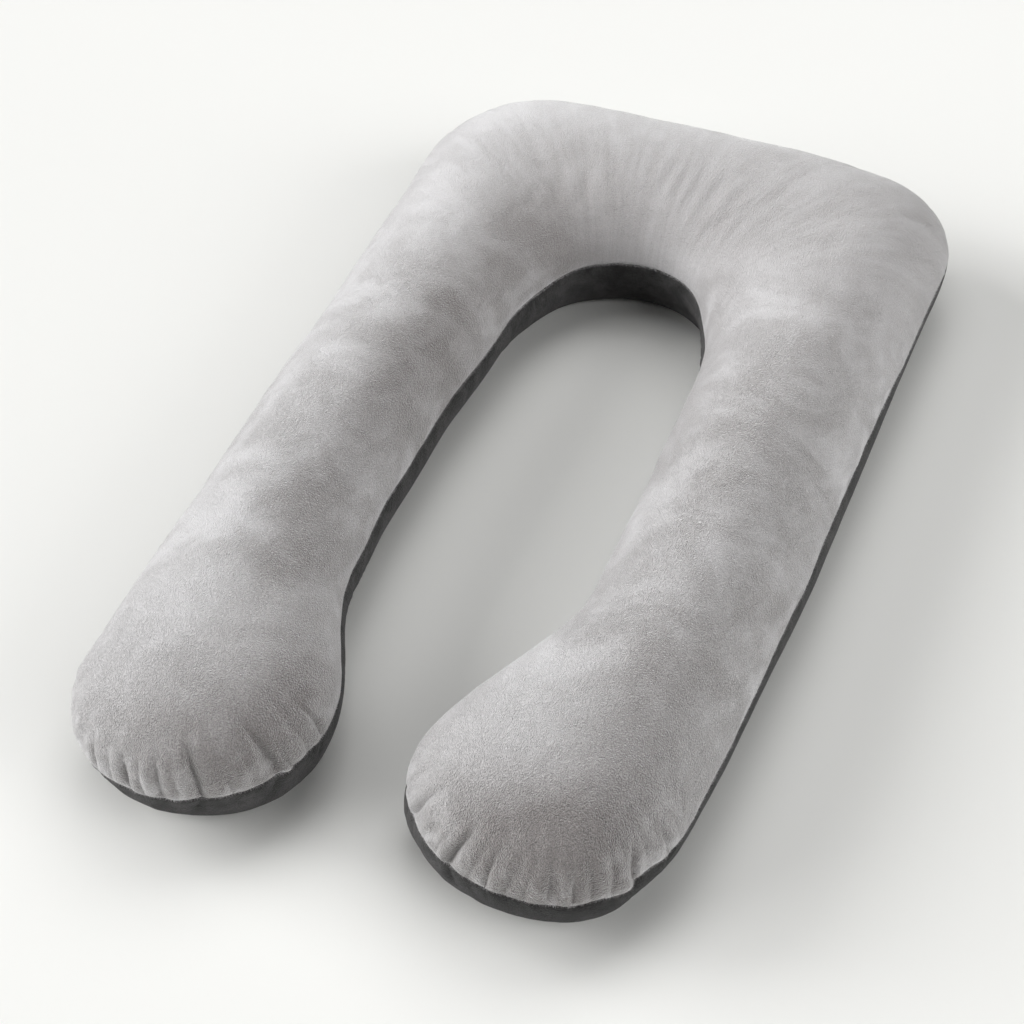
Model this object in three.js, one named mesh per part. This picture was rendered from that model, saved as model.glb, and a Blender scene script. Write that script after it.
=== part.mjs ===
// U-shaped body pillow: two plush panels, pale grey above and charcoal below, sewn edge to edge and stuffed.
// Millimetres, +Z up. The legs point to -Y and the crown joins them at +Y. The origin is on the floor under
// the middle of the pillow. Each panel is modelled with the stuffing behind it, so the two filled halves meet
// face to face at the level of the seam.

import * as THREE from "three";

// Plan of the seam line
const LENGTH = 1400; // front of the leg ends to the back edge
const FRONT_HALF_WIDTH = 348; // outer edge at the leg ends, from the middle
const BACK_HALF_WIDTH = 384; // where the two outer edges would meet the back edge
const LEG_END_RADIUS = 148; // round end of each leg
const GAP_HALF_WIDTH = 142; // gap between the legs, at its widest
const NOTCH_HALF_WIDTH = 132; // gap where the crown begins
const NOTCH_DEPTH = 200; // from there to the deepest point of the gap
const CROWN_WIDTH = 316; // deepest point of the gap to the back edge
const CORNER_SQUARENESS = 5.4; // exponent of the superellipse round the back corners
const FLARE_START_Y = -270; // the legs begin to widen inwards here

// Heights
const SEAM_HEIGHT = 80;
const SEAM_GAP = 0.3; // between the two filled halves
const SEAM_BULGE = 3; // how far the upper panel stands out over the drawn-in seam
const SEAM_BULGE_RISE = 16; // height over which it does so

// Exponents of the sections, 2 being an ellipse
const TOP_FULLNESS = { inner: 2.15, end: 2.0, outer: 2.0 };
const BELLY_FULLNESS = 2.0;

// Height of the ridge, and how far the underside rolls in from the seam, from the crown to the leg end
const SECTIONS = [
  { place: "crown", along: 0.0, ridge: 174, innerTuck: 48, outerTuck: 50 },
  { place: "corner", along: 0.24, ridge: 172, innerTuck: 46, outerTuck: 48 },
  { place: "shoulder", along: 0.42, ridge: 168, innerTuck: 42, outerTuck: 42 },
  { place: "leg", along: 0.7, ridge: 166, innerTuck: 40, outerTuck: 36 },
  { place: "flare", along: 0.88, ridge: 166, innerTuck: 42, outerTuck: 50 },
  { place: "leg_end", along: 1.0, ridge: 168, innerTuck: 48, outerTuck: 82 },
];

// Further roll of the underside at the front of the leg ends, fading to nothing at their sides
const LEG_END_EXTRA_TUCK = 22;

// Gathers where the round leg ends are eased into the seam. The turn is in degrees from straight ahead,
// towards +X, where the gather leaves the seam, and the slant in degrees for each 100 mm of height away from
// it. A gather is shallow at the seam itself, reaches its depth a little way from it, and fades after a share
// of its reach.
const GATHER_SEAM_SHARE = 0.4;
const GATHER_SEAM_RUN = 15;
const GATHER_STEADY_SHARE = 0.2;
const GATHER_UNDER_SHARE = 0.6; // of the depth, in the lower panel
const SLANT_RUN = 100;
const GATHERS = [
  { leg: "left", turn: -18, slant: -10, depth: 3, width: 12, reach: 40 },
  { leg: "left", turn: -9, slant: 2, depth: 5, width: 12, reach: 50 },
  { leg: "left", turn: 10, slant: -6, depth: 4, width: 12, reach: 56 },
  { leg: "left", turn: 25, slant: -4, depth: 6, width: 13, reach: 64 },
  { leg: "left", turn: 57, slant: -8, depth: 6, width: 14, reach: 80 },
  { leg: "left", turn: 67, slant: -12, depth: 3, width: 12, reach: 64 },
  { leg: "left", turn: 79, slant: -8, depth: 4, width: 13, reach: 52 },
  { leg: "right", turn: -57, slant: 18, depth: 5, width: 13, reach: 68 },
  { leg: "right", turn: -44, slant: 14, depth: 2, width: 12, reach: 50 },
  { leg: "right", turn: -26, slant: 14, depth: 6, width: 13, reach: 64 },
  { leg: "right", turn: -15, slant: 16, depth: 3, width: 12, reach: 60 },
  { leg: "right", turn: 1, slant: 10, depth: 4, width: 12, reach: 56 },
  { leg: "right", turn: 17, slant: 6, depth: 4, width: 12, reach: 52 },
  { leg: "right", turn: 36, slant: -6, depth: 4, width: 13, reach: 52 },
  { leg: "right", turn: 55, slant: -4, depth: 6, width: 13, reach: 60 },
  { leg: "right", turn: 63, slant: -2, depth: 3, width: 12, reach: 50 },
  { leg: "right", turn: 74, slant: -8, depth: 3, width: 12, reach: 50 },
];

// Creases that fan out over the crown from the gap. The turn is in degrees from +X, seen from above, and the
// crease lies between two shares of the way from the gap to the back edge.
const CROWN_CREASES = [
  { turn: 64, depth: 2, width: 17, from: 0.4, to: 0.9 },
  { turn: 71, depth: 2, width: 16, from: 0.2, to: 0.7 },
  { turn: 77, depth: 2, width: 15, from: 0.2, to: 0.6 },
  { turn: 84, depth: 2, width: 14, from: 0.2, to: 0.5 },
  { turn: 91, depth: 2, width: 14, from: 0.2, to: 0.5 },
  { turn: 97, depth: 2, width: 15, from: 0.2, to: 0.5 },
  { turn: 113, depth: 3, width: 17, from: 0.1, to: 0.5 },
  { turn: 121, depth: 3, width: 17, from: 0.1, to: 0.5 },
];

// Steps of the mesh
const CROWN_STEPS = 36;
const LEG_STEPS = 18;
const LEG_END_STEPS = 56;
const TOP_STEPS = 9;
const BELLY_STEPS = 5;

const BACK_Y = LENGTH / 2;
const LEG_END_Y = LEG_END_RADIUS - LENGTH / 2;
const LEG_END_X = FRONT_HALF_WIDTH - LEG_END_RADIUS;
const CROWN_Y = BACK_Y - CROWN_WIDTH - NOTCH_DEPTH;

const lerp = THREE.MathUtils.lerp;
const smoothstep = THREE.MathUtils.smoothstep;
const degToRad = THREE.MathUtils.degToRad;

// A column of SECTIONS at a share of the way from the crown (0) to the leg end (1)
function sectionValue(column, along) {
  const next = Math.max(1, SECTIONS.findIndex((row) => row.along >= along));
  const low = SECTIONS[next - 1];
  const high = SECTIONS[next];
  return lerp(low[column], high[column], smoothstep(along, low.along, high.along));
}

// Distance from the centre of the crown to a superellipse, at a turn from +X
function superellipseRadius(turn, halfWidth, depth, squareness) {
  const across = Math.abs(Math.cos(turn) / halfWidth) ** squareness;
  const back = Math.abs(Math.sin(turn) / depth) ** squareness;
  return (across + back) ** (-1 / squareness);
}

// Half-width between the straight outer edges, which spread a little towards the back
function outerHalfWidth(y) {
  return lerp(FRONT_HALF_WIDTH, BACK_HALF_WIDTH, (y - LEG_END_Y) / (BACK_Y - LEG_END_Y));
}

// Inner edge of the right leg at a given y
function innerHalfWidth(y) {
  const flare = smoothstep(-y, -FLARE_START_Y, -LEG_END_Y);
  const easing = smoothstep(y, FLARE_START_Y, CROWN_Y);
  const gap = lerp(GAP_HALF_WIDTH, NOTCH_HALF_WIDTH, easing);
  return lerp(gap, LEG_END_X - LEG_END_RADIUS, flare);
}

// Cross-sections of the right half from the crown's middle to the leg end, each with its two seam points
// and the point under its ridge
function halfSections() {
  const sections = [];
  const centre = new THREE.Vector2(0, CROWN_Y);
  const crownHalfWidth = outerHalfWidth(CROWN_Y);
  for (let step = 0; step <= CROWN_STEPS; step++) {
    const turn = (Math.PI / 2) * (1 - step / CROWN_STEPS);
    const ray = new THREE.Vector2(Math.cos(turn), Math.sin(turn));
    const inner = superellipseRadius(turn, NOTCH_HALF_WIDTH, NOTCH_DEPTH, 2);
    const outer = superellipseRadius(turn, crownHalfWidth, BACK_Y - CROWN_Y, CORNER_SQUARENESS);
    const section = {
      inner: ray.clone().multiplyScalar(inner).add(centre),
      outer: ray.clone().multiplyScalar(outer).add(centre),
      turn,
    };
    section.outer.x *= outerHalfWidth(section.outer.y) / crownHalfWidth;
    sections.push(section);
  }
  for (let step = 1; step <= LEG_STEPS; step++) {
    const y = lerp(CROWN_Y, LEG_END_Y, step / LEG_STEPS);
    sections.push({
      inner: new THREE.Vector2(innerHalfWidth(y), y),
      outer: new THREE.Vector2(outerHalfWidth(y), y),
    });
  }
  let travelled = 0;
  sections.forEach((section, index) => {
    section.ridge = section.inner.clone().lerp(section.outer, 0.5);
    if (index > 0) travelled += section.ridge.distanceTo(sections[index - 1].ridge);
    section.travelled = travelled;
  });
  sections.forEach((section) => {
    section.along = section.travelled / travelled;
  });
  return sections;
}

// The seam as one closed loop, anticlockwise from above, starting at the middle of the back edge. Each point
// knows its ridge, by index, whether it faces the gap (0) or outwards (1), and where it lies for the gathers
// and creases.
function seamLoop() {
  const sections = halfSections();
  const last = sections.length - 1;
  const ridges = sections.map((section) => ({ at: section.ridge, along: section.along }));
  const leftRidge = (index) => (index === 0 ? 0 : last + index);
  for (let index = 1; index <= last; index++) {
    const mirrored = new THREE.Vector2(-sections[index].ridge.x, sections[index].ridge.y);
    ridges.push({ at: mirrored, along: sections[index].along });
  }

  const points = [];
  const edgePoint = (index, edge, side) => {
    const { turn } = sections[index];
    const at = sections[index][edge].clone();
    at.x *= side;
    points.push({
      at,
      edge,
      outwards: edge === "outer" ? 1 : 0,
      ridge: side > 0 ? index : leftRidge(index),
      crownTurn: side > 0 || turn === undefined ? turn : Math.PI - turn,
    });
  };
  const legEnd = (leg, side, ridge) => {
    for (let step = 1; step < LEG_END_STEPS; step++) {
      const turn = -Math.PI / 2 + (Math.PI * step) / LEG_END_STEPS;
      const at = new THREE.Vector2(
        side * LEG_END_X + LEG_END_RADIUS * Math.sin(turn),
        LEG_END_Y - LEG_END_RADIUS * Math.cos(turn),
      );
      const outwards = 0.5 + 0.5 * side * Math.sin(turn);
      points.push({ at, edge: "end", outwards, ridge, leg, endTurn: turn });
    }
  };

  for (let index = 0; index <= last; index++) edgePoint(index, "outer", -1);
  legEnd("left", -1, leftRidge(last));
  for (let index = last; index >= 0; index--) edgePoint(index, "inner", -1);
  for (let index = 1; index <= last; index++) edgePoint(index, "inner", 1);
  legEnd("right", 1, last);
  for (let index = last; index >= 1; index--) edgePoint(index, "outer", 1);
  return { points, ridges };
}

// A soft trough across a distance, 1 in its middle
const trough = (distance, width) => Math.exp(-2 * (distance / width) ** 2);

// Depth of the gathers at a point of the seam, a given distance above or below it
function gatherDepth(point, distance) {
  if (point.edge !== "end") return 0;
  let depth = 0;
  for (const row of GATHERS.filter((gather) => gather.leg === point.leg)) {
    const turn = degToRad(row.turn + (row.slant * distance) / SLANT_RUN);
    const across = (point.endTurn - turn) * LEG_END_RADIUS;
    const fade = 1 - smoothstep(distance, row.reach * GATHER_STEADY_SHARE, row.reach);
    depth += row.depth * trough(across, row.width) * fade;
  }
  return depth * lerp(GATHER_SEAM_SHARE, 1, smoothstep(distance, 0, GATHER_SEAM_RUN));
}

// Depth of the crown's creases at a share of the way from the gap to the back edge
function creaseDepth(point, share, radius) {
  if (point.crownTurn === undefined) return 0;
  let depth = 0;
  for (const row of CROWN_CREASES) {
    const across = (point.crownTurn - degToRad(row.turn)) * radius;
    const middle = (row.from + row.to) / 2;
    const run = trough(share - middle, row.to - row.from);
    depth += row.depth * trough(across, row.width) * run;
  }
  return depth;
}

// How far the upper panel stands out over the drawn-in seam, at a height above it
const seamBulge = (rise) => SEAM_BULGE * (1 - Math.exp(-rise / SEAM_BULGE_RISE));

// One quarter of a superellipse: the shares of the half-width and of the height at a given share of the turn
function quarterSection(share, fullness) {
  const turn = (Math.PI / 2) * share;
  return {
    across: Math.max(0, Math.cos(turn)) ** (2 / fullness),
    up: Math.sin(turn) ** (2 / fullness),
  };
}

// Points of the upper panel from a seam point to just short of its ridge
function topProfile(point, ridge) {
  const height = sectionValue("ridge", ridge.along) - SEAM_HEIGHT;
  const outward = point.at.clone().sub(ridge.at);
  const halfWidth = outward.length();
  outward.normalize();
  const profile = [];
  for (let step = 0; step < TOP_STEPS; step++) {
    const { across, up } = quarterSection(step / TOP_STEPS, TOP_FULLNESS[point.edge]);
    const rise = height * up;
    const reach = halfWidth * across + seamBulge(rise) * across;
    const slope = new THREE.Vector2(across / halfWidth, up / height).normalize();
    const share = 0.5 + (point.edge === "inner" ? -0.5 : 0.5) * across;
    const fromCrown = ridge.at.clone().addScaledVector(outward, reach).distanceTo(
      new THREE.Vector2(0, CROWN_Y),
    );
    const sunk = gatherDepth(point, rise) + creaseDepth(point, share, fromCrown) * up;
    const at = ridge.at.clone().addScaledVector(outward, reach - sunk * slope.x);
    const level = step === 0 ? 0 : rise - sunk * slope.y;
    profile.push(new THREE.Vector3(at.x, at.y, SEAM_HEIGHT + SEAM_GAP / 2 + level));
  }
  return profile;
}

// Points of the lower panel from a seam point down to where it meets the floor
function bellyProfile(point, ridge) {
  const depth = SEAM_HEIGHT - SEAM_GAP / 2;
  const sideTuck = lerp(
    sectionValue("innerTuck", ridge.along),
    sectionValue("outerTuck", ridge.along),
    point.outwards,
  );
  const tuck = sideTuck + (point.edge === "end" ? LEG_END_EXTRA_TUCK * Math.cos(point.endTurn) : 0);
  const outward = point.at.clone().sub(ridge.at);
  const halfWidth = outward.length();
  outward.normalize();
  const profile = [];
  for (let step = 0; step <= BELLY_STEPS; step++) {
    const { across, up } = quarterSection(step / BELLY_STEPS, BELLY_FULLNESS);
    const drop = depth * up;
    const reach = halfWidth - tuck * (1 - across);
    const sunk = gatherDepth(point, drop) * lerp(1, GATHER_UNDER_SHARE, up) * across;
    const at = ridge.at.clone().addScaledVector(outward, reach - sunk);
    profile.push(new THREE.Vector3(at.x, at.y, depth - drop));
  }
  return profile;
}

// A closed solid from one profile for each seam point. Every profile ends at its ridge, and a level face at
// the seam closes the other side.
function filledHalf({ points, ridges }, profileOf, ridgeLevel, seamLevel, facesUp) {
  const vertices = [];
  const triangles = [];
  const add = (x, y, z) => vertices.push(x, y, z) / 3 - 1;
  const face = (a, b, c) => {
    if (a === b || b === c || c === a) return;
    triangles.push(...(facesUp ? [a, b, c] : [a, c, b]));
  };
  const far = ridges.map((ridge) => add(ridge.at.x, ridge.at.y, ridgeLevel(ridge)));
  const near = ridges.map((ridge) => add(ridge.at.x, ridge.at.y, seamLevel));
  const columns = points.map((point) => {
    const ridge = ridges[point.ridge];
    return profileOf(point, ridge).map((p) => add(p.x, p.y, p.z));
  });
  points.forEach((point, index) => {
    const nextIndex = (index + 1) % points.length;
    const here = [near[point.ridge], ...columns[index], far[point.ridge]];
    const nextRidge = points[nextIndex].ridge;
    const next = [near[nextRidge], ...columns[nextIndex], far[nextRidge]];
    for (let row = 0; row + 1 < here.length; row++) {
      face(here[row], next[row], next[row + 1]);
      face(here[row], next[row + 1], here[row + 1]);
    }
  });
  const geometry = new THREE.BufferGeometry();
  geometry.setAttribute("position", new THREE.Float32BufferAttribute(vertices, 3));
  geometry.setIndex(triangles);
  geometry.computeVertexNormals();
  return geometry;
}

function topPanel(loop) {
  const ridgeLevel = (ridge) => sectionValue("ridge", ridge.along) + SEAM_GAP / 2;
  const geometry = filledHalf(loop, topProfile, ridgeLevel, SEAM_HEIGHT + SEAM_GAP / 2, true);
  const plush = new THREE.MeshStandardMaterial({ color: 0xc6c3c3, roughness: 0.95, metalness: 0 });
  const panel = new THREE.Mesh(geometry, plush);
  panel.name = "top_panel";
  return panel;
}

function bottomPanel(loop) {
  const geometry = filledHalf(loop, bellyProfile, () => 0, SEAM_HEIGHT - SEAM_GAP / 2, false);
  const plush = new THREE.MeshStandardMaterial({ color: 0x3f3e3e, roughness: 0.95, metalness: 0 });
  const panel = new THREE.Mesh(geometry, plush);
  panel.name = "bottom_panel";
  return panel;
}

const pillow = new THREE.Group();
const seam = seamLoop();
pillow.add(topPanel(seam), bottomPanel(seam));

export default pillow;
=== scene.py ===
import math

import bmesh
import bpy
import numpy as np
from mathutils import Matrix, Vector, noise


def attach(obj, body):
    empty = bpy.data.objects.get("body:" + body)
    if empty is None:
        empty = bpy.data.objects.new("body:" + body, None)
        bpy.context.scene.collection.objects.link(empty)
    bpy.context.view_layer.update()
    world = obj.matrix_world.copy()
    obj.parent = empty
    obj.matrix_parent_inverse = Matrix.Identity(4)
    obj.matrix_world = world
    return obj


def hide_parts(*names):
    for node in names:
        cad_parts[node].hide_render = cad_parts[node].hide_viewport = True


# Looks of a U-shaped body pillow: a pale plush panel above and a charcoal one below, sewn edge to edge and
# stuffed. Metres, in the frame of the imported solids: legs to -Y, crown at +Y, floor at z = 0.

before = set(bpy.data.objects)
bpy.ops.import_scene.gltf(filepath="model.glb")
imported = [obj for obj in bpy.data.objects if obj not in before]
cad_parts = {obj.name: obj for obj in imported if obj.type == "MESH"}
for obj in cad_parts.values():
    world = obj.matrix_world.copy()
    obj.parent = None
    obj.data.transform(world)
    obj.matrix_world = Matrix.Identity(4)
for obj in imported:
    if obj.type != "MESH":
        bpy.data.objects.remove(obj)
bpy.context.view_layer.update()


def table(columns, *rows):
    """Rows of a table, each with the names of the columns."""
    return [dict(zip(columns, row)) for row in rows]


# Where the seam runs and the round parts have their centres
SEAM_HEIGHT = 0.080
LEG_END_RADIUS = 0.148
LEG_END_CENTRES = {"left": (-0.200, -0.552), "right": (0.200, -0.552)}
CROWN_CENTRE = (0.0, 0.184)

# Mesh of the filled form
ROUNDING_LEVELS = 2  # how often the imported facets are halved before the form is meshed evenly
CLOTH_GRID = 0.006
GRID_SMOOTHING = 3  # passes that take the steps of the grid out
SAME_POINT = 0.0005  # points nearer than this are one
SEAM_SNAP = 0.0014  # points this near the seam are put on it
CUT_TOLERANCE = 0.00001
FLOOR_SNAP = 0.0015  # points this near the floor lie on it
# Bands where the mesh is halved, one after another: near the seam of the leg ends, and along the whole seam
FINE_BANDS = table(
    ("leg_end_reach", "seam_height"),
    (0.080, 0.014),
    (0.048, 0.0),
)

# Settling: the stuffing presses the cloth out for a few steps, held at the floor and the seam
SETTLE_FRAMES = 14
SETTLE_PRESSURE = 4.0
SETTLE_QUALITY = 3
SETTLE_SLACK = {"depth": 0.0025, "seam_reach": 0.02}  # how much smaller the form starts, away from the seam
SETTLE_SEAM_BAND = 0.0035  # points this near the seam are held
SETTLE_LIMIT = 0.008  # how far a point of the cloth may move

# How a swell and a fold fall off across their widths. A fold has a sharper bottom.
SWELL_FALL = 2.0
FOLD_FALL = 1.5
FOLD_POWER = 1.35
NOISE_SHIFT = (1.0, 0.7, 1.3)  # how far a seed moves the noise, along each axis

# Uneven stuffing: soft lumps of three sizes. The lower part fades to the flat underside.
LUMPS = table(
    ("size", "height", "seed"),
    (0.19, 0.0030, 3.1),
    (0.085, 0.0016, 11.7),
    (0.034, 0.0008, 19.3),
)
LUMPS_UNDER = 0.35  # share of the lumps that shows below the seam
LUMPS_RUN = 0.02  # height over which that share is reached
LYING_RISE = 0.03  # height at which the relief is full

# Where the stuffed form strays from the even plan, as moves on the plan
STRAYS = table(
    ("place", "at", "half_size", "move"),
    ("left leg, inner side", (-0.142, 0.03), (0.05, 0.10), (-0.006, 0.0)),
    ("left leg, low", (-0.138, -0.275), (0.05, 0.07), (0.010, 0.0)),
    ("left leg end, inner side", (-0.055, -0.58), (0.05, 0.06), (-0.006, 0.0)),
    ("left leg end, front", (-0.190, -0.70), (0.10, 0.05), (0.0, -0.006)),
    ("right leg, outer side", (0.360, -0.12), (0.06, 0.24), (0.006, 0.0)),
    ("right leg end, outer side", (0.330, -0.61), (0.05, 0.05), (-0.007, 0.004)),
    ("lip of the gap", (0.030, 0.37), (0.09, 0.05), (-0.003, -0.010)),
    ("round end of the gap, right", (0.105, 0.265), (0.06, 0.10), (-0.010, -0.002)),
    ("round end of the gap, left", (-0.085, 0.345), (0.06, 0.05), (-0.003, 0.008)),
    ("back left corner", (-0.290, 0.66), (0.14, 0.08), (-0.004, 0.013)),
    ("back left corner, side", (-0.345, 0.53), (0.05, 0.08), (-0.007, 0.004)),
    ("back edge, right", (0.210, 0.67), (0.16, 0.08), (0.0, -0.013)),
    ("back right corner", (0.370, 0.55), (0.06, 0.08), (0.009, 0.004)),
    ("right leg end, front", (0.275, -0.68), (0.05, 0.06), (0.0, -0.005)),
)

# The seam draws both panels in and wavers a little
SEAM_DRAW = {"top": {"depth": 0.0030, "width": 0.006}, "bottom": {"depth": 0.0050, "width": 0.009}}
SEAM_WAVER = {"height": 0.0012, "size": 0.16, "reach": 0.025, "seed": 5.3}

# Gathers where the leg ends are eased into the seam. The turn, at the seam, is in degrees from straight
# ahead towards +X, and the slant is in degrees for each 100 mm away from the seam.
GATHERS = table(
    ("leg", "turn", "slant", "depth", "width", "reach"),
    ("left", -24, -18, 0.0056, 0.007, 0.045),
    ("left", -15, -14, 0.0050, 0.008, 0.050),
    ("left", -5, -18, 0.0090, 0.007, 0.050),
    ("left", 2, -12, 0.0056, 0.008, 0.056),
    ("left", 9, -8, 0.0078, 0.008, 0.067),
    ("left", 16, -8, 0.0050, 0.009, 0.056),
    ("left", 25, -9, 0.0103, 0.008, 0.090),
    ("left", 38, -10, 0.0056, 0.009, 0.056),
    ("left", 49, -12, 0.0050, 0.010, 0.062),
    ("left", 60, -14, 0.0121, 0.012, 0.095),
    ("left", 66, -14, 0.0069, 0.007, 0.040),
    ("left", 77, -10, 0.0050, 0.010, 0.056),
    ("left", 87, -8, 0.0080, 0.007, 0.076),
    ("right", -72, 14, 0.0023, 0.008, 0.050),
    ("right", -59, 16, 0.0090, 0.007, 0.074),
    ("right", -46, 20, 0.0046, 0.007, 0.040),
    ("right", -36, 14, 0.0048, 0.009, 0.056),
    ("right", -28, 12, 0.0115, 0.008, 0.076),
    ("right", -17, 12, 0.0050, 0.009, 0.067),
    ("right", -9, 6, 0.0080, 0.008, 0.069),
    ("right", -1, 14, 0.0048, 0.007, 0.043),
    ("right", 8, 8, 0.0046, 0.009, 0.056),
    ("right", 17, 6, 0.0039, 0.008, 0.056),
    ("right", 28, 4, 0.0074, 0.007, 0.045),
    ("right", 36, 2, 0.0050, 0.009, 0.056),
    ("right", 44, 7, 0.0060, 0.012, 0.069),
    ("right", 55, 12, 0.0098, 0.009, 0.056),
    ("right", 63, 6, 0.0050, 0.010, 0.056),
    ("right", 75, 2, 0.0069, 0.008, 0.049),
    ("right", 84, -4, 0.0032, 0.010, 0.056),
)
GATHER_STEADY_SHARE = 0.2  # of the reach, before a gather fades
GATHER_SEAM_RUN = 0.009  # from the seam to the full depth
GATHER_RIDGE = {"height": 0.42, "width": 2.5}  # of the swell beside it, as shares of its depth and width
GATHER_UNDER = {"depth": 0.3, "reach": 0.5}  # shares of the gather that continue below the seam
GATHER_WANDER = {"across": 0.0022, "size": 0.045, "seed": 8.9}  # how it strays from its line
SLANT_RUN = 0.1  # distance from the seam for which the slants are given

# Pleats whose lower edge hangs over the seam, between two turns of a leg end, and ends in a step
PLEATS = table(
    ("leg", "from", "to", "drop", "out"),
    ("left", 58.0, 65.5, 0.0040, 0.0020),
    ("right", 40.0, 54.5, 0.0060, 0.0040),
    ("right", 66.0, 74.5, 0.0024, 0.0012),
)
PLEAT_STEP = 1.8  # degrees over which the step closes
PLEAT_FADE = 0.022  # distance from the seam over which a pleat fades

# Fuller and slacker places, above and below the seam
BULGES = table(
    ("place", "at", "half_size", "above", "below"),
    ("right leg end, inner side", (0.054, -0.578), (0.09, 0.09), 0.009, 0.015),
    ("right leg end, outer side", (0.347, -0.440), (0.08, 0.12), 0.004, 0.003),
    ("right leg end, front right", (0.315, -0.630), (0.06, 0.06), 0.0, 0.005),
    ("right leg, back", (0.370, 0.330), (0.05, 0.16), 0.001, -0.002),
    ("lip of the gap", (0.030, 0.37), (0.09, 0.05), -0.011, -0.011),
    ("round end of the gap", (0.115, 0.220), (0.04, 0.08), -0.003, 0.001),
    ("left leg end, front", (-0.162, -0.695), (0.10, 0.10), 0.0, -0.004),
    ("left leg end, outer side", (-0.310, -0.650), (0.07, 0.07), 0.0, -0.005),
    ("left leg end, neck", (-0.095, -0.430), (0.06, 0.09), -0.003, 0.0025),
)
BULGE_RUN = 0.02  # below the seam, to where the lower part is at its fullest

# Small puckers all round the leg ends' seam, up to a turn to both sides where they fade out
PUCKERS = {
    "height": 0.0030,
    "size": 0.016,
    "stretch": 3.0,  # how much longer they are away from the seam than along it
    "reach": 0.022,  # distance from the seam where they are highest
    "end": 4.0,  # reaches after which they are left out
    "turn": 100.0,  # degrees
    "fade": 25.0,  # degrees
    "under": 0.3,  # share of the height below the seam
    "seed": 23.0,
}

# Creases in the upper panel, from one point of the plan to another
CREASES = table(
    ("from", "to", "depth", "width"),
    ((-0.166, 0.415), (-0.163, 0.352), 0.0008, 0.011),
    ((-0.151, 0.470), (-0.134, 0.372), 0.0012, 0.012),
    ((-0.115, 0.480), (-0.103, 0.396), 0.0011, 0.011),
    ((-0.085, 0.470), (-0.077, 0.420), 0.0007, 0.009),
    ((-0.033, 0.510), (-0.032, 0.450), 0.0009, 0.010),
    ((-0.005, 0.530), (-0.011, 0.448), 0.0011, 0.010),
    ((0.017, 0.525), (0.010, 0.446), 0.0011, 0.009),
    ((0.038, 0.518), (0.030, 0.444), 0.0010, 0.009),
    ((0.070, 0.512), (0.054, 0.412), 0.0012, 0.011),
    ((0.105, 0.512), (0.078, 0.400), 0.0011, 0.011),
    ((0.132, 0.470), (0.064, 0.408), 0.0010, 0.011),
    ((0.175, 0.570), (0.131, 0.450), 0.0010, 0.016),
    ((-0.177, 0.365), (-0.177, 0.305), 0.0008, 0.012),
    ((-0.190, -0.538), (-0.112, -0.498), 0.0012, 0.018),
    ((-0.112, -0.498), (-0.078, -0.470), 0.0010, 0.014),
)
CREASE_RIDGE = 0.5  # height of the swell beside a crease, as a share of its depth
CREASE_LEVEL = SEAM_HEIGHT + 0.02  # creases lie above this height

# Pile that stands out over the seam. The rise is for each metre outwards, below zero where the pile hangs.
FRINGE = {
    "top": {"length": 0.0042, "width": 0.0009, "rise": -0.25, "tufts_per_metre": 4200},
    "bottom": {"length": 0.0020, "width": 0.0007, "rise": 0.15, "tufts_per_metre": 1800},
}
FRINGE_ROOT = 0.25  # share of the length that is sunk into the seam
FRINGE_LEAN = 0.45  # how much the tufts vary, sideways and up and down, for each metre outwards
FRINGE_LENGTHS = (0.6, 1.25)  # shortest and longest, as shares of the length
FRINGE_SEED = 17

# Broad patches on the plan, paler above zero, darker below. They are brushing of the pile together with
# painted light on the left-facing sides, shoulders and lip of the gap, and painted shade on the
# right-facing sides and the fronts of the leg ends.
BRUSHING_AND_PAINTED_SHADE_TOP = table(
    ("place", "at", "half_size", "tone"),
    ("left leg, outer side", (-0.318, 0.05), (0.076, 0.50), 0.40),
    ("left leg, ridge", (-0.190, -0.02), (0.045, 0.30), -0.22),
    ("left leg, inner side", (-0.165, 0.00), (0.04, 0.28), -0.31),
    ("left leg end, outer side", (-0.300, -0.56), (0.08, 0.14), 0.13),
    ("left leg end, inner side", (-0.085, -0.57), (0.045, 0.11), -0.50),
    ("left leg end, front", (-0.150, -0.67), (0.10, 0.06), -0.30),
    ("left leg, low", (-0.245, -0.43), (0.08, 0.13), 0.30),
    ("left leg, neck", (-0.165, -0.39), (0.05, 0.07), -0.27),
    ("left shoulder", (-0.245, 0.32), (0.07, 0.12), 0.22),
    ("right leg, inner side", (0.165, 0.00), (0.05, 0.40), 0.12),
    ("right leg, ridge", (0.270, -0.10), (0.05, 0.30), -0.05),
    ("right leg, low", (0.225, -0.27), (0.06, 0.08), 0.15),
    ("right shoulder", (0.210, 0.22), (0.07, 0.12), 0.14),
    ("right leg end, neck", (0.115, -0.41), (0.05, 0.09), 0.33),
    ("right leg end, top", (0.200, -0.52), (0.09, 0.12), 0.14),
    ("right leg end, inner side", (0.080, -0.57), (0.06, 0.12), 0.13),
    ("right leg end, outer side", (0.285, -0.53), (0.06, 0.15), -0.34),
    ("right leg end, front", (0.215, -0.67), (0.11, 0.065), -0.62),
    ("crown, back edge", (-0.080, 0.60), (0.20, 0.08), 0.22),
    ("crown, lip of the gap", (0.005, 0.365), (0.07, 0.025), 0.50),
    ("crown, left of the gap", (-0.125, 0.34), (0.07, 0.07), -0.28),
    ("back left corner", (-0.300, 0.58), (0.10, 0.10), 0.39),
)
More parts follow.
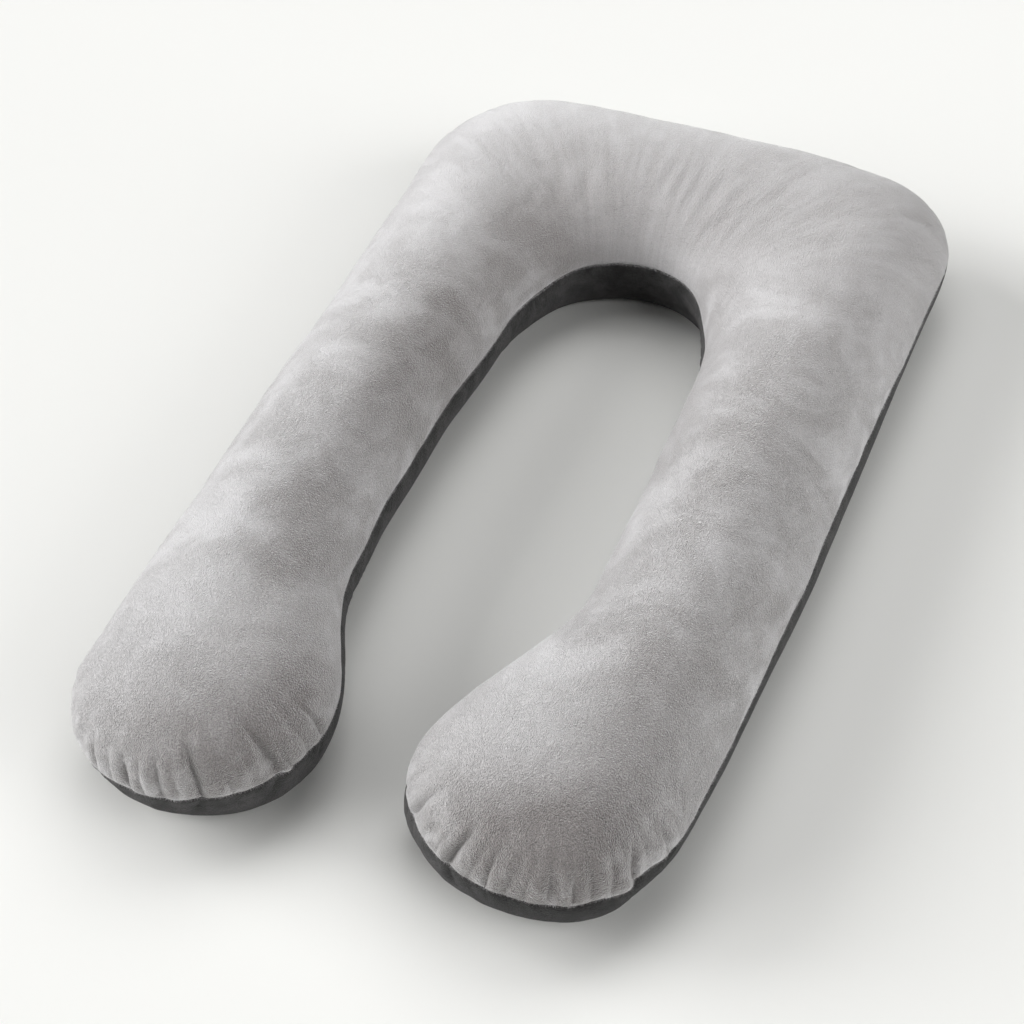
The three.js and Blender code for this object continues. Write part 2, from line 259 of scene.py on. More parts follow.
# Patches on the plan for the charcoal band, paler above zero, darker below: painted shade on the fronts and
# outer sides of the leg ends and painted light at the gap's round end, together with brushing of the pile
BRUSHING_AND_PAINTED_SHADE_BOTTOM = table(
    ("place", "at", "half_size", "tone"),
    ("left leg end, outer side", (-0.280, -0.67), (0.06, 0.06), -0.20),
    ("right leg end, inner side", (0.070, -0.62), (0.07, 0.07), 0.40),
    ("right leg end, front", (0.220, -0.70), (0.11, 0.06), -0.60),
    ("right leg end, outer side", (0.325, -0.61), (0.06, 0.07), -0.40),
    ("right leg, outer side", (0.370, 0.00), (0.06, 0.35), 0.22),
    ("round end of the gap", (-0.030, 0.38), (0.07, 0.05), -0.18),
    ("round end of the gap, right", (0.105, 0.28), (0.06, 0.09), 0.45),
)
# Name of the values that hold the brushing of the pile together with the painted light and shade
PAINTED_SHADE_AND_BRUSHING_NAME = "brushed_and_painted_shade"
# The clouds of the nap show on the legs, and are fainter over the crown and the leg ends
MOTTLED = {"faint": 0.35, "front": (-0.50, -0.38), "back": (0.24, 0.38)}
MOTTLED_NAME = "mottled"
# The upper panel's pile stands up on the leg ends and lies flatter on the crown
GRAINY = table(
    ("y", "strength"),
    (-0.70, 1.40),
    (-0.40, 1.20),
    (0.00, 1.10),
    (0.35, 0.80),
    (0.70, 0.75),
)
GRAINY_NAME = "grainy"
# Pale flecks of turned-up pile beside the seam of the upper panel, longer along the legs than across
FLECKS = {"tone": 0.45, "reach": 0.035, "size": 0.015, "stretch": 0.45, "shows": (0.05, 0.35), "seed": 31.0}
# Painted shade and light in the gathers and creases: how much paler the pile is painted for each metre that
# a gather or crease rises, and how much darker where it dips
RELIEF_PAINTED_SHADE = {"top": 22.0, "bottom": 90.0}
SEAM_RIM_TURNED_PILE_AND_SHEEN = {"tone": 0.30, "width": 0.004}  # paler band along the seam: partly the pile turning up, partly a painted sheen highlight

# Finishes
PALE = {
    "dark": (0.270, 0.250, 0.245),
    "light": (0.607, 0.597, 0.605),
    "cloud_scale": 9.5,
    "cloud_share": 0.40,  # of the range from dark to light
    "grain": (0.32, 0.13),  # how strongly the grain's colour varies, where the tone is dark and light
    "lively": (1.40, 0.60),  # how strong the grain's relief is, where the tone is dark and light
    "sheen": 0.9,
    "relief": 0.00075,
}
CHARCOAL = {
    "dark": (0.026, 0.0255, 0.0255),
    "light": (0.076, 0.074, 0.074),
    "cloud_scale": 36.0,
    "cloud_share": 0.6,
    "grain": (0.6, 0.5),
    "lively": (1.0, 1.0),
    "sheen": 0.12,
    "relief": 0.0006,
}
SHEEN_ROUGHNESS = 0.45
PLUSH_ROUGHNESS = 0.95
PLUSH_SPECULAR = 0.15
MIDDLE_TONE = 0.5  # half way from dark to light

# The nap as noise: soft clouds, small bunches of pile, and the single pile, which lies along the legs
CLOUD_NOISE = {"Detail": 4.0, "Roughness": 0.62, "Distortion": 0.5}
CLOUD_RANGE = (0.34, 0.66)
BUNCH_NOISE = {"Detail": 1.0, "Roughness": 0.5, "Distortion": 0.6}
BUNCH_SCALE = 290.0
BUNCH_SHARE = 0.25  # of the grain, the rest is single pile
PILE_NOISE = {"Detail": 0.0, "Roughness": 0.5, "Distortion": 0.0}
PILE_SCALE = 900.0
PILE_LIE = (1.0, 0.6, 1.0)  # the pile is drawn out along Y
GRAIN_RANGE = (0.2, 0.8)
# Strokes of the crown's pile, which fans out from the gap
FAN_NOISE = {"Detail": 3.0, "Roughness": 0.6, "Distortion": 0.4}
FAN = {
    "turn_scale": 26.0,  # for each radian of turn
    "away_scale": 9.0,  # for each metre away from the crown's centre
    "range": (0.3, 0.7),
    "start": (0.30, 0.42),  # where along Y the fan fades in
    "tone": 0.09,
}

# Camera, light and floor
VIEW_TARGET = (-0.0435, -0.0217, -0.035)
VIEW_DISTANCE = 2.9425
VIEW_RISE = 40.92  # degrees above the floor
VIEW_TURN = 20.5  # degrees from straight ahead, towards +X
VIEW_END = 100.0  # how far the camera sees
LENS_MM = 82.0
FLOOR_SIZE = 80.0
FLOOR_COLOUR = (0.865, 0.866, 0.843)
SKY_STRENGTH = 0.02

# Soft lights. The turn is in degrees clockwise from +Y, seen from above.
LIGHT_SPREAD = 40.0  # degrees across
LIGHTS = table(
    ("name", "turn", "rise", "strength"),
    ("left", 270, 20, 2.41),
    ("front_left", 240, 20, 1.82),
    ("right", 90, 20, 1.11),
    ("front_right", 120, 35, 0.66),
    ("back", 0, 50, 0.81),
    ("above", 300, 70, 0.59),
)


def smooth_share(value, low, high):
    """0 below low, 1 above high, with a smooth rise between them."""
    share = np.clip((value - low) / (high - low), 0.0, 1.0)
    return share * share * (3.0 - 2.0 * share)


def swell(distance, width):
    """A soft ridge or trough across a distance, 1 in its middle."""
    return np.exp(-SWELL_FALL * (distance / width) ** 2)


def fold(distance, width):
    """A narrow trough with a sharp bottom, 1 in its middle."""
    return np.exp(-FOLD_FALL * (np.abs(distance) / width) ** FOLD_POWER)


def points_of(mesh):
    flat = np.empty(len(mesh.vertices) * 3, np.float32)
    mesh.vertices.foreach_get("co", flat)
    return flat.reshape(-1, 3).astype(float)


def normals_of(mesh):
    flat = np.empty(len(mesh.vertices) * 3, np.float32)
    mesh.vertex_normals.foreach_get("vector", flat)
    return flat.reshape(-1, 3).astype(float)


def move_points(mesh, points):
    mesh.vertices.foreach_set("co", points.astype(np.float32).ravel())
    mesh.update()


def object_of(name, mesh):
    piece = bpy.data.objects.new(name, mesh)
    bpy.context.scene.collection.objects.link(piece)
    return piece


def apply_modifiers(piece):
    """Replaces the piece's mesh by what its modifiers make of it."""
    graph = bpy.context.evaluated_depsgraph_get()
    made = bpy.data.meshes.new_from_object(piece.evaluated_get(graph))
    old = piece.data
    piece.modifiers.clear()
    piece.data = made
    bpy.data.meshes.remove(old)


def leg_end_place(points, leg):
    """Turn in degrees, radius in plan and distance from the seam of points round a leg end."""
    offset = points[:, :2] - np.array(LEG_END_CENTRES[leg])
    radius = np.hypot(offset[:, 0], offset[:, 1])
    turn = np.degrees(np.arctan2(offset[:, 0], -offset[:, 1]))
    run = np.hypot(LEG_END_RADIUS - radius, points[:, 2] - SEAM_HEIGHT)
    return turn, radius, run


# The filled form

def filled_form():
    """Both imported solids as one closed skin, evenly meshed."""
    skin = bmesh.new()
    for node in ("top_panel", "bottom_panel"):
        skin.from_mesh(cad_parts[node].data)
    level = [f for f in skin.faces if all(abs(v.co.z - SEAM_HEIGHT) < SAME_POINT for v in f.verts)]
    bmesh.ops.delete(skin, geom=level, context="FACES")
    bmesh.ops.remove_doubles(skin, verts=skin.verts, dist=SAME_POINT)
    mesh = bpy.data.meshes.new("filled_form")
    skin.to_mesh(mesh)
    skin.free()
    form = object_of("filled_form", mesh)
    rounding = form.modifiers.new("rounding", "SUBSURF")
    rounding.levels = ROUNDING_LEVELS
    grid = form.modifiers.new("grid", "REMESH")
    grid.mode = "VOXEL"
    grid.voxel_size = CLOTH_GRID
    evening = form.modifiers.new("evening", "SMOOTH")
    evening.iterations = GRID_SMOOTHING
    apply_modifiers(form)
    return form


def settle(form):
    """Presses the cloth out from inside, with its underside and seam held, and caps the movement."""
    points = points_of(form.data)
    lying = smooth_share(points[:, 2], 0.0, LYING_RISE)
    away = 1.0 - swell(points[:, 2] - SEAM_HEIGHT, SETTLE_SLACK["seam_reach"])
    before = points - normals_of(form.data) * (SETTLE_SLACK["depth"] * lying * away)[:, None]
    move_points(form.data, before)
    on_floor = points[:, 2] < FLOOR_SNAP
    on_seam = np.abs(before[:, 2] - SEAM_HEIGHT) < SETTLE_SEAM_BAND
    held = form.vertex_groups.new(name="held")
    held.add([int(i) for i in np.nonzero(on_floor | on_seam)[0]], 1.0, "REPLACE")
    cloth = form.modifiers.new("settle", "CLOTH")
    cloth.settings.quality = SETTLE_QUALITY
    cloth.settings.use_pressure = True
    cloth.settings.uniform_pressure_force = SETTLE_PRESSURE
    cloth.settings.effector_weights.gravity = 0.0
    cloth.settings.vertex_group_mass = held.name
    cloth.point_cache.frame_end = SETTLE_FRAMES
    for step in range(1, SETTLE_FRAMES + 1):
        bpy.context.scene.frame_set(step)
    apply_modifiers(form)
    bpy.context.scene.frame_set(1)
    move = points_of(form.data) - before
    length = np.linalg.norm(move, axis=1, keepdims=True)
    move *= np.minimum(1.0, SETTLE_LIMIT / np.maximum(length, SAME_POINT))
    move_points(form.data, before + move)


def fine_edges(skin, band):
    """Edges that lie in the gathers of the leg ends or along the seam."""
    edges = list(skin.edges)
    middles = np.array([(edge.verts[0].co + edge.verts[1].co)[:] for edge in edges]) / 2
    fine = np.abs(middles[:, 2] - SEAM_HEIGHT) < band["seam_height"]
    for leg in LEG_END_CENTRES:
        turn, _, run = leg_end_place(middles, leg)
        fine |= (run < band["leg_end_reach"]) & (np.abs(turn) < PUCKERS["turn"])
    return [edges[i] for i in np.nonzero(fine)[0]]


def mark_seam(form):
    """Cuts the skin at the seam, halves the mesh in the fine bands and numbers the two panels."""
    skin = bmesh.new()
    skin.from_mesh(form.data)
    for vertex in skin.verts:
        if abs(vertex.co.z - SEAM_HEIGHT) < SEAM_SNAP:
            vertex.co.z = SEAM_HEIGHT
    everything = [*skin.verts, *skin.edges, *skin.faces]
    level = {"plane_co": (0, 0, SEAM_HEIGHT), "plane_no": (0, 0, 1)}
    bmesh.ops.bisect_plane(skin, geom=everything, dist=CUT_TOLERANCE, **level)
    for band in FINE_BANDS:
        bmesh.ops.subdivide_edges(skin, edges=fine_edges(skin, band), cuts=1, use_grid_fill=True)
    for face in skin.faces:
        face.material_index = 0 if face.calc_center_median().z > SEAM_HEIGHT else 1
        face.smooth = True
    skin.to_mesh(form.data)
    skin.free()


# Relief of the cloth

def noise_at(points, size, seed):
    shift = Vector([seed * part for part in NOISE_SHIFT])
    return np.array([noise.noise(Vector(p) / size + shift) for p in points])


def lump_height(points):
    under = smooth_share(SEAM_HEIGHT - points[:, 2], 0.0, LUMPS_RUN)
    height = sum(row["height"] * noise_at(points, row["size"], row["seed"]) for row in LUMPS)
    return height * (1.0 - (1.0 - LUMPS_UNDER) * under)


def gather_height(points):
    """Folds and swells of the leg ends' gathers at every point."""
    under = points[:, 2] < SEAM_HEIGHT
    depth_share = np.where(under, GATHER_UNDER["depth"], 1.0)
    reach_share = np.where(under, GATHER_UNDER["reach"], 1.0)
    wander = GATHER_WANDER["across"] * noise_at(points, GATHER_WANDER["size"], GATHER_WANDER["seed"])
    height = np.zeros(len(points))
    for row in GATHERS:
        turn, radius, run = leg_end_place(points, row["leg"])
        reach = row["reach"] * reach_share
        fade = 1.0 - smooth_share(run, reach * GATHER_STEADY_SHARE, reach)
        fade = fade * smooth_share(run, 0.0, GATHER_SEAM_RUN)
        slanted = turn - row["turn"] - row["slant"] * run / SLANT_RUN
        across = np.radians(slanted) * radius + wander
        beside = GATHER_RIDGE["height"] * swell(across, row["width"] * GATHER_RIDGE["width"])
        height += depth_share * row["depth"] * fade * (beside - fold(across, row["width"]))
    return height


def pleat_share(points, row):
    """How much of a pleat's drop there is at every point."""
    turn, _, run = leg_end_place(points, row["leg"])
    closing = 1.0 - smooth_share(turn, row["to"], row["to"] + PLEAT_STEP)
    return smooth_share(turn, row["from"], row["to"]) * closing * np.exp(-run / PLEAT_FADE)


def near_place(points, row):
    """How near every point is to a place on the plan, 1 in its middle."""
    away = (points[:, :2] - np.array(row["at"])) / np.array(row["half_size"])
    return np.exp(-np.sum(away**2, axis=1))


def bulge_height(points):
    """Fuller and slacker places at every point."""
    under = smooth_share(SEAM_HEIGHT - points[:, 2], 0.0, BULGE_RUN)
    height = np.zeros(len(points))
    for row in BULGES:
        height += near_place(points, row) * (row["above"] + (row["below"] - row["above"]) * under)
    return height


def pucker_height(points):
    """Small uneven puckers next to the leg ends' seam."""
    height = np.zeros(len(points))
    for leg in LEG_END_CENTRES:
        turn, _, run = leg_end_place(points, leg)
        near = (np.abs(turn) < PUCKERS["turn"]) & (run < PUCKERS["end"] * PUCKERS["reach"])
        along = np.radians(turn[near]) * LEG_END_RADIUS
        track = np.stack([along, run[near] / PUCKERS["stretch"], np.zeros(near.sum())], axis=1)
        ends = 1.0 - smooth_share(np.abs(turn[near]), PUCKERS["turn"] - PUCKERS["fade"], PUCKERS["turn"])
        away = run[near] / PUCKERS["reach"]
        shape = noise_at(track, PUCKERS["size"], PUCKERS["seed"]) * away * np.exp(1.0 - away)
        height[near] += PUCKERS["height"] * ends * shape
    return np.where(points[:, 2] < SEAM_HEIGHT, PUCKERS["under"] * height, height)


def crease_height(points):
    """Soft creases in the upper panel at every point."""
    height = np.zeros(len(points))
    for row in CREASES:
        start = np.array(row["from"])
        run = np.array(row["to"]) - start
        along = (points[:, :2] - start) @ run / (run @ run)
        nearest = start + np.clip(along, 0.0, 1.0)[:, None] * run
        distance = np.linalg.norm(points[:, :2] - nearest, axis=1)
        arch = 4.0 * along * (1.0 - along)  # 0 at both ends and 1 half way
        ends = np.sqrt(np.clip(arch, 0.0, 1.0))
        beside = CREASE_RIDGE * swell(distance - row["width"], row["width"])
        height += row["depth"] * ends * (beside - swell(distance, row["width"]))
    return np.where(points[:, 2] > CREASE_LEVEL, height, 0.0)


def seam_draw(points):
    above = points[:, 2] - SEAM_HEIGHT
    depth = np.where(above >= 0, SEAM_DRAW["top"]["depth"], SEAM_DRAW["bottom"]["depth"])
    width = np.where(above >= 0, SEAM_DRAW["top"]["width"], SEAM_DRAW["bottom"]["width"])
    return depth * np.exp(-np.abs(above) / width)


def dress(form):
    """Adds the relief of the cloth, the strays from the plan and the drawn-in seam to the skin."""
    points = points_of(form.data)
    lying = smooth_share(points[:, 2], 0.0, LYING_RISE)
    height = lump_height(points) + gather_height(points) + pucker_height(points) + crease_height(points)
    height = (height + bulge_height(points) - seam_draw(points)) * lying
    waver = SEAM_WAVER["height"] * noise_at(points, SEAM_WAVER["size"], SEAM_WAVER["seed"])
    near_seam = swell(points[:, 2] - SEAM_HEIGHT, SEAM_WAVER["reach"])
    drop = np.zeros(len(points))
    for row in PLEATS:
        share = pleat_share(points, row)
        height += row["out"] * share
        drop += row["drop"] * share
    stray = sum(near_place(points, row)[:, None] * np.array(row["move"]) for row in STRAYS)
    points += normals_of(form.data) * height[:, None]
    points[:, :2] += stray
    points[:, 2] += waver * near_seam - drop
    points[:, 2] = np.where(points[:, 2] < FLOOR_SNAP, 0.0, points[:, 2])
    move_points(form.data, points)


def keep_values(mesh, name, values):
    kept = mesh.attributes.new(name, "FLOAT", "POINT")
    kept.data.foreach_set("value", values.astype(np.float32))


def fleck_tone(points):
    drawn = points * np.array([1.0, FLECKS["stretch"], 1.0])
    shows = smooth_share(noise_at(drawn, FLECKS["size"], FLECKS["seed"]), *FLECKS["shows"])
    before_crown = 1.0 - smooth_share(points[:, 1], *MOTTLED["back"])
    near_seam = np.exp(-np.abs(points[:, 2] - SEAM_HEIGHT) / FLECKS["reach"])
    return FLECKS["tone"] * shows * before_crown * near_seam


def brush_and_paint_shade(piece, side, patches):
    """Keeps the brushing with its painted light and shade, the mottling and the grain of the pile as values
    at every point.
    """
    points = points_of(piece.data)
    # painted shade where the gathers and creases dip and painted light where they rise
    tone = RELIEF_PAINTED_SHADE[side] * (gather_height(points) + crease_height(points))
    # paler rim along the seam: partly the pile turning up, partly a painted sheen highlight
    tone += SEAM_RIM_TURNED_PILE_AND_SHEEN["tone"] * np.exp(-np.abs(points[:, 2] - SEAM_HEIGHT) / SEAM_RIM_TURNED_PILE_AND_SHEEN["width"])
    # patches of painted light and shade, together with the brushing of the pile
    for row in patches:
        tone += row["tone"] * near_place(points, row)
    mottled = np.ones(len(points))
    grainy = np.ones(len(points))
    if side == "top":
        tone += fleck_tone(points)
        along = points[:, 1]
        on_leg = smooth_share(along, *MOTTLED["front"]) - smooth_share(along, *MOTTLED["back"])
        mottled = MOTTLED["faint"] + (1.0 - MOTTLED["faint"]) * on_leg
        grainy = np.interp(along, [row["y"] for row in GRAINY], [row["strength"] for row in GRAINY])
    keep_values(piece.data, PAINTED_SHADE_AND_BRUSHING_NAME, tone)
    keep_values(piece.data, MOTTLED_NAME, mottled)
    keep_values(piece.data, GRAINY_NAME, grainy)


def panel(form, name, index):
    """One of the two panels, cut from the skin at the seam and closed by a face there."""
    cut = bmesh.new()
    cut.from_mesh(form.data)
    other = [face for face in cut.faces if face.material_index != index]
    bmesh.ops.delete(cut, geom=other, context="FACES")
    rim = [edge for edge in cut.edges if edge.is_boundary]
    for edge in rim:
        edge.smooth = False
    bmesh.ops.triangle_fill(cut, edges=rim, normal=(0, 0, 1))
    for face in cut.faces:
        face.material_index = 0
    bmesh.ops.recalc_face_normals(cut, faces=cut.faces)
    mesh = bpy.data.meshes.new(name)
    cut.to_mesh(mesh)
    cut.free()
    return object_of(name, mesh)


def seam_line(form):
    """Edges of the seam as pairs of points and of outward directions."""
    skin = bmesh.new()
    skin.from_mesh(form.data)
    ends = []
    outwards = []
    for edge in skin.edges:
        if len({face.material_index for face in edge.link_faces}) == 2:
            ends.append([vertex.co[:] for vertex in edge.verts])
            outwards.append([vertex.normal[:] for vertex in edge.verts])
    skin.free()
    return np.array(ends), np.array(outwards)


def fringe(name, line, sizes, draws):
    """Short tufts of pile along the seam, each a thin triangle."""
    ends, outwards = line
    lengths = np.linalg.norm(ends[:, 1] - ends[:, 0], axis=1)
    count = int(lengths.sum() * sizes["tufts_per_metre"])
    chosen = draws.choice(len(ends), count, p=lengths / lengths.sum())
    share = draws.random((count, 1))
    root = ends[chosen, 0] * (1 - share) + ends[chosen, 1] * share
    out = outwards[chosen, 0] * (1 - share) + outwards[chosen, 1] * share
    out[:, 2] = 0.0
    out /= np.linalg.norm(out, axis=1, keepdims=True)
    side = np.stack([-out[:, 1], out[:, 0], np.zeros(count)], axis=1)
    lean = draws.normal(0.0, FRINGE_LEAN, (count, 2))
    aim = out + side * lean[:, :1]
    aim[:, 2] += sizes["rise"] + lean[:, 1]
    aim /= np.linalg.norm(aim, axis=1, keepdims=True)
    length = sizes["length"] * draws.uniform(*FRINGE_LENGTHS, (count, 1))
    half = side * sizes["width"] / 2
    root = root - out * sizes["length"] * FRINGE_ROOT
    points = np.stack([root - half, root + half, root + aim * length], axis=1).reshape(-1, 3)
    faces = np.arange(count * 3).reshape(-1, 3)
    mesh = bpy.data.meshes.new(name)
    mesh.from_pydata(points.tolist(), [], faces.tolist())
    return object_of(name, mesh)


# Materials

def add_node(tree, kind, **settings):
    made = tree.nodes.new(kind)
    for key, value in settings.items():
        setattr(made, key, value)
    return made


def feed(tree, socket, value):
    """Links a socket to an output, or sets it to a plain value."""
    if isinstance(value, bpy.types.NodeSocket):
        tree.links.new(value, socket)
    else:
        socket.default_value = value


def math_node(tree, operation, first, second):
    made = add_node(tree, "ShaderNodeMath", operation=operation)
    feed(tree, made.inputs[0], first)
    feed(tree, made.inputs[1], second)
    return made.outputs[0]


def noise_node(tree, where, scale, settings):
    made = add_node(tree, "ShaderNodeTexNoise")
    for name, value in {"Vector": where, "Scale": scale, **settings}.items():
        feed(tree, made.inputs[name], value)
    return made.outputs["Fac"]


def range_node(tree, value, low, high, to_low=0.0, to_high=1.0, smooth=True):
    kind = "SMOOTHSTEP" if smooth else "LINEAR"
    made = add_node(tree, "ShaderNodeMapRange", interpolation_type=kind)
    settings = {"Value": value, "From Min": low, "From Max": high, "To Min": to_low, "To Max": to_high}
    for name, setting in settings.items():
        feed(tree, made.inputs[name], setting)
    return made.outputs["Result"]


def plush_group():
    """Nap of a short plush: soft clouds, from 0 to 1, and the grain of the pile, from -1 to 1."""
    tree = bpy.data.node_groups.new("plush_nap", "ShaderNodeTree")
    for name in ("Cloud Scale", "Bunch Scale", "Pile Scale"):
        tree.interface.new_socket(name, in_out="INPUT", socket_type="NodeSocketFloat")
    for name in ("Clouds", "Pile"):
        tree.interface.new_socket(name, in_out="OUTPUT", socket_type="NodeSocketFloat")
    given = add_node(tree, "NodeGroupInput")
    result = add_node(tree, "NodeGroupOutput")
    where = add_node(tree, "ShaderNodeTexCoord").outputs["Object"]
    clouds = noise_node(tree, where, given.outputs["Cloud Scale"], CLOUD_NOISE)
    bunches = noise_node(tree, where, given.outputs["Bunch Scale"], BUNCH_NOISE)
    lying = add_node(tree, "ShaderNodeVectorMath", operation="MULTIPLY")
    tree.links.new(where, lying.inputs[0])
    lying.inputs[1].default_value = PILE_LIE
    pile = noise_node(tree, lying.outputs["Vector"], given.outputs["Pile Scale"], PILE_NOISE)
    bunched = math_node(tree, "MULTIPLY", bunches, BUNCH_SHARE)
    single = math_node(tree, "MULTIPLY", pile, 1.0 - BUNCH_SHARE)
    grain = math_node(tree, "ADD", bunched, single)
    tree.links.new(range_node(tree, clouds, *CLOUD_RANGE), result.inputs["Clouds"])
    tree.links.new(range_node(tree, grain, *GRAIN_RANGE, -1.0, 1.0, False), result.inputs["Pile"])
    return tree


def fan_strokes(tree):
    """Strokes of the crown's pile, which fans out from the gap, from -1 to 1."""
    where = add_node(tree, "ShaderNodeTexCoord").outputs["Object"]
    parts = add_node(tree, "ShaderNodeSeparateXYZ")
    tree.links.new(where, parts.inputs[0])
    across = math_node(tree, "SUBTRACT", parts.outputs["X"], CROWN_CENTRE[0])
    back = math_node(tree, "SUBTRACT", parts.outputs["Y"], CROWN_CENTRE[1])
    turn = math_node(tree, "ARCTAN2", back, across)
    across_squared = math_node(tree, "POWER", across, 2.0)
    back_squared = math_node(tree, "POWER", back, 2.0)
    away = math_node(tree, "SQRT", math_node(tree, "ADD", across_squared, back_squared), 0.0)
    fan = add_node(tree, "ShaderNodeCombineXYZ")
    tree.links.new(math_node(tree, "MULTIPLY", turn, FAN["turn_scale"]), fan.inputs["X"])
    tree.links.new(math_node(tree, "MULTIPLY", away, FAN["away_scale"]), fan.inputs["Y"])
    drawn = noise_node(tree, fan.outputs["Vector"], 1.0, FAN_NOISE)
    strokes = range_node(tree, drawn, *FAN["range"], -1.0, 1.0)
    return math_node(tree, "MULTIPLY", strokes, range_node(tree, parts.outputs["Y"], *FAN["start"]))


def plush(name, group, finish, tone_of):
    """A plush: its colour runs between dark and light with the nap and the painted light and shade, and
    varies with the pile's grain.
    """
    material = bpy.data.materials.new(name)
    material.use_nodes = True
    tree = material.node_tree
    shader = tree.nodes["Principled BSDF"]
    nap = add_node(tree, "ShaderNodeGroup", node_tree=group)
    nap.inputs["Cloud Scale"].default_value = finish["cloud_scale"]
    nap.inputs["Bunch Scale"].default_value = BUNCH_SCALE
    nap.inputs["Pile Scale"].default_value = PILE_SCALE
    tone = add_node(tree, "ShaderNodeMix", data_type="RGBA")
    dark, light = [socket for socket in tone.inputs if socket.type == "RGBA"]
    dark.default_value = (*finish["dark"], 1.0)
    light.default_value = (*finish["light"], 1.0)
    share = tone_of(tree, nap.outputs["Clouds"], finish["cloud_share"])
    tree.links.new(share, tone.inputs["Factor"])
    strength = range_node(tree, share, 0.0, 1.0, *finish["grain"], False)
    grainy = add_node(tree, "ShaderNodeAttribute", attribute_name=GRAINY_NAME).outputs["Fac"]
    pile = math_node(tree, "MULTIPLY", nap.outputs["Pile"], grainy)
    grain = math_node(tree, "ADD", math_node(tree, "MULTIPLY", pile, strength), 1.0)
    toned = add_node(tree, "ShaderNodeVectorMath", operation="SCALE")
    tree.links.new([socket for socket in tone.outputs if socket.type == "RGBA"][0], toned.inputs[0])
    tree.links.new(grain, toned.inputs["Scale"])
    tree.links.new(toned.outputs["Vector"], shader.inputs["Base Color"])
    shader.inputs["Roughness"].default_value = PLUSH_ROUGHNESS
    shader.inputs["Specular IOR Level"].default_value = PLUSH_SPECULAR
    shader.inputs["Sheen Weight"].default_value = finish["sheen"]
    shader.inputs["Sheen Roughness"].default_value = SHEEN_ROUGHNESS
    relief = add_node(tree, "ShaderNodeBump")
    relief.inputs["Distance"].default_value = finish["relief"]
    lively = range_node(tree, share, 0.0, 1.0, *finish["lively"], False)
    tree.links.new(math_node(tree, "MULTIPLY", pile, lively), relief.inputs["Height"])
    tree.links.new(relief.outputs["Normal"], shader.inputs["Normal"])
    return material


def charcoal_tone(tree, clouds, cloud_share):
    """Clouds of the nap and the brushing with its painted light and shade, together."""
    brushed_and_painted_shade = add_node(tree, "ShaderNodeAttribute", attribute_name=PAINTED_SHADE_AND_BRUSHING_NAME).outputs["Fac"]
    mottled = add_node(tree, "ShaderNodeAttribute", attribute_name=MOTTLED_NAME).outputs["Fac"]
    drift = range_node(tree, clouds, 0.0, 1.0, -cloud_share / 2, cloud_share / 2, False)
    own = math_node(tree, "ADD", math_node(tree, "MULTIPLY", drift, mottled), MIDDLE_TONE)
    return math_node(tree, "ADD", own, brushed_and_painted_shade)


def pale_tone(tree, clouds, cloud_share):
    """Clouds of the nap, the brushing with its painted light and shade, and the fan of the pile over the
    crown, together.
    """
    fan = math_node(tree, "MULTIPLY", fan_strokes(tree), FAN["tone"])
    return math_node(tree, "ADD", charcoal_tone(tree, clouds, cloud_share), fan)


def floor_material():
    material = bpy.data.materials.new("pale_floor")
    material.use_nodes = True
    shader = material.node_tree.nodes["Principled BSDF"]
    shader.inputs["Base Color"].default_value = (*FLOOR_COLOUR, 1.0)
    shader.inputs["Roughness"].default_value = 1.0
    shader.inputs["Specular IOR Level"].default_value = 0.0
    return material


# Studio

def add_camera():
    rise = math.radians(VIEW_RISE)
    turn = math.radians(VIEW_TURN)
    away = Vector((math.sin(turn) * math.cos(rise), -math.cos(turn) * math.cos(rise), math.sin(rise)))
    camera = bpy.data.objects.new("camera", bpy.data.cameras.new("camera"))
    camera.data.lens = LENS_MM
    camera.data.clip_end = VIEW_END
    camera.location = Vector(VIEW_TARGET) + away * VIEW_DISTANCE
    camera.rotation_euler = (-away).to_track_quat("-Z", "Y").to_euler()
    bpy.context.scene.collection.objects.link(camera)
    bpy.context.scene.camera = camera


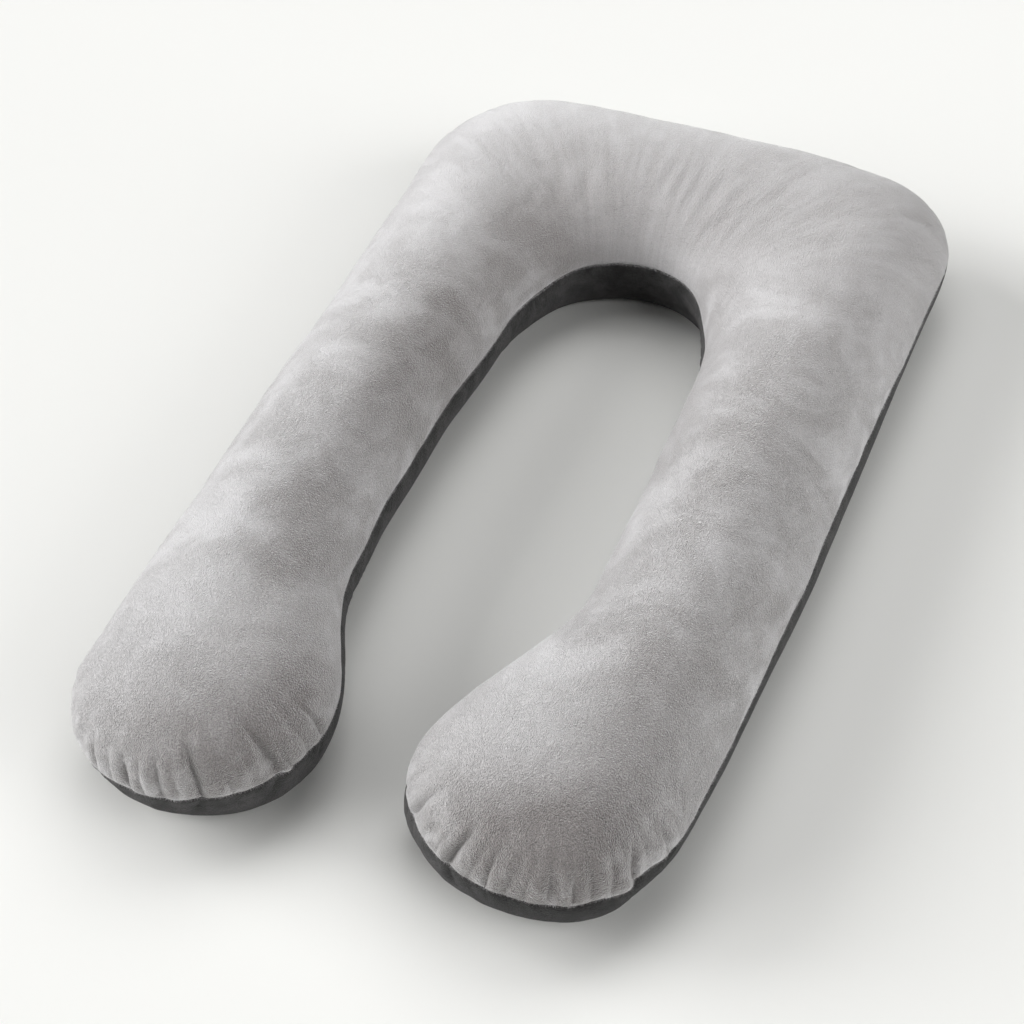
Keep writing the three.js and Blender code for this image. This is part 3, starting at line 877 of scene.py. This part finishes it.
def add_lights():
    world = bpy.data.worlds.new("studio")
    world.use_nodes = True
    sky = world.node_tree.nodes["Background"]
    sky.inputs["Color"].default_value = (1.0, 1.0, 1.0, 1.0)
    sky.inputs["Strength"].default_value = SKY_STRENGTH
    bpy.context.scene.world = world
    for row in LIGHTS:
        lamp = bpy.data.objects.new(row["name"], bpy.data.lights.new(row["name"], "SUN"))
        lamp.data.energy = row["strength"]
        lamp.data.angle = math.radians(LIGHT_SPREAD)
        rise = math.radians(row["rise"])
        turn = math.radians(row["turn"])
        towards = Vector((math.sin(turn) * math.cos(rise), math.cos(turn) * math.cos(rise), math.sin(rise)))
        lamp.rotation_euler = towards.to_track_quat("Z", "Y").to_euler()
        bpy.context.scene.collection.objects.link(lamp)


def add_floor():
    half = FLOOR_SIZE / 2
    mesh = bpy.data.meshes.new("floor")
    corners = [(-half, -half, 0), (half, -half, 0), (half, half, 0), (-half, half, 0)]
    mesh.from_pydata(corners, [], [(0, 1, 2, 3)])
    floor = object_of("floor", mesh)
    mesh.materials.append(floor_material())


def build_pillow():
    form = filled_form()
    settle(form)
    mark_seam(form)
    dress(form)
    group = plush_group()
    panels = table(
        ("side", "slot", "finish", "tone_of", "patches"),
        ("top", "plush_pale", PALE, pale_tone, BRUSHING_AND_PAINTED_SHADE_TOP),
        ("bottom", "plush_charcoal", CHARCOAL, charcoal_tone, BRUSHING_AND_PAINTED_SHADE_BOTTOM),
    )
    line = seam_line(form)
    draws = np.random.default_rng(FRINGE_SEED)
    for index, row in enumerate(panels):
        side = row["side"]
        material = plush(row["slot"], group, row["finish"], row["tone_of"])
        piece = panel(form, f"{side}_plush", index)
        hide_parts(f"{side}_panel")
        tufts = fringe(f"{side}_seam_pile", line, FRINGE[side], draws)
        for made in (piece, tufts):
            brush_and_paint_shade(made, side, row["patches"])
            made.data.materials.append(material)
            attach(made, "root")
    bpy.data.objects.remove(form)


bpy.context.scene.view_settings.view_transform = "Standard"
add_camera()
add_lights()
add_floor()
build_pillow()
